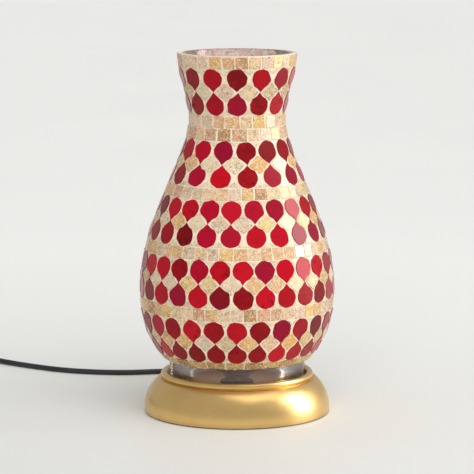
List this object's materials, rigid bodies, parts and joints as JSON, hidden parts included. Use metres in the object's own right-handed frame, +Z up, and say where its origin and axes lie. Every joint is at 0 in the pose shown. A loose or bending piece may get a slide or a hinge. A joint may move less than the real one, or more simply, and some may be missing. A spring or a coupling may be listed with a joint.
{
  "type": "mosaic glass table lamp",
  "caption": "Table lamp with a mosaic glass vase shade of crimson drops and cream squares, a domed satin gold base, screw lampholder, bulb and mains lead.",
  "frame": {"origin": "centre of the plane that the rubber feet stand on, under the vase's axis", "axes": "+Z up along the vase's axis, +Y towards the back, where the lead leaves the base, +X to the viewer's right"},
  "size_m": [0.4019, 0.3258, 0.2915],
  "materials": {
    "satin_gold": "satin gold plated steel",
    "steel": "zinc plated",
    "dark_plate": "matt black enamel",
    "rubber": "matt moulded",
    "silicone": "clear silicone",
    "brass": "turned brass",
    "cord_pvc": "smooth black sheath",
    "core_pvc": "brown and blue insulation",
    "slate_plastic": "dark slate moulding",
    "porcelain": "unglazed porcelain",
    "bulb_cap_metal": "rolled thread",
    "clear_glass": "blown clear glass",
    "bulb_glass": "clear bulb glass",
    "filament": "phosphor coated rod",
    "grout": "cream mortar",
    "champagne_glass": "mottled champagne and copper tile",
    "pearl_glass": "mottled pearl and gold tile",
    "crimson_glass": "deep crimson tile",
    "switch_plastic": "black moulding",
    "rocker_plastic": "black rocker",
    "tie": "black hook and loop strap",
    "pin_metal": "nickel plated"
  },
  "bodies": {
    "base": {"base_shell": "satin_gold", "plate_posts": "steel", "bottom_plate": "dark_plate", "plate_screws": "steel", "rubber_feet": "rubber", "seat_gasket": "silicone", "threaded_nipple": "brass", "floor_washer": "dark_plate", "lock_washer": "steel", "nipple_nut": "brass", "strain_relief": "rubber", "inner_cord": "cord_pvc", "cord_grip": "slate_plastic", "grip_screws": "steel", "live_and_neutral_cores": "core_pvc", "holder_cap": "slate_plastic", "holder_shell": "slate_plastic", "holder_core": "porcelain", "thread_contact": "brass", "centre_contact": "brass", "terminal_screws": "brass", "cord_run": "cord_pvc", "cord_link": "cord_pvc", "cord_coil": "cord_pvc", "cord_tail": "cord_pvc", "coil_tie": "tie", "switch_base": "switch_plastic", "switch_cover": "switch_plastic", "switch_contacts": "brass", "switch_screws": "steel", "plug_body": "switch_plastic", "plug_pins": "pin_metal"},
    "vase": {"glass_vase": "clear_glass", "mortar_bed": "grout", "rim_squares": "champagne_glass", "neck_squares": "champagne_glass", "shoulder_squares": "champagne_glass", "waist_squares": "champagne_glass", "belly_squares": "champagne_glass", "hem_tiles": "champagne_glass", "drops_band_1": "crimson_glass", "drops_band_2": "crimson_glass", "drops_band_3": "crimson_glass", "drops_band_4": "crimson_glass", "drops_band_5": "crimson_glass", "diamonds_band_1": "pearl_glass", "diamonds_band_2": "pearl_glass", "diamonds_band_3": "pearl_glass", "diamonds_band_4": "pearl_glass", "diamonds_band_5": "pearl_glass", "corner_tiles": "pearl_glass"},
    "bulb": {"bulb_cap": "bulb_cap_metal", "bulb_contact": "brass", "bulb_insulator": "slate_plastic", "bulb_envelope": "bulb_glass", "bulb_stem": "bulb_glass", "bulb_filaments": "filament"},
    "rocker": {"switch_rocker": "rocker_plastic"}
  },
  "joints": [
    {"name": "vase_lift", "type": "slide", "parent": "base", "child": "vase", "axis": [0, 0, 1], "range_m": [0, 0.12]},
    {"name": "bulb_out", "type": "slide", "parent": "base", "child": "bulb", "axis": [0, 0, 1], "range_m": [0, 0.25]},
    {"name": "rocker_tip", "type": "hinge", "parent": "base", "child": "rocker", "pos_m": [-0.264, 0.2255, 0.014], "axis": [-0.5, -0.866, 0], "range_deg": [-9, 9]}
  ]
}
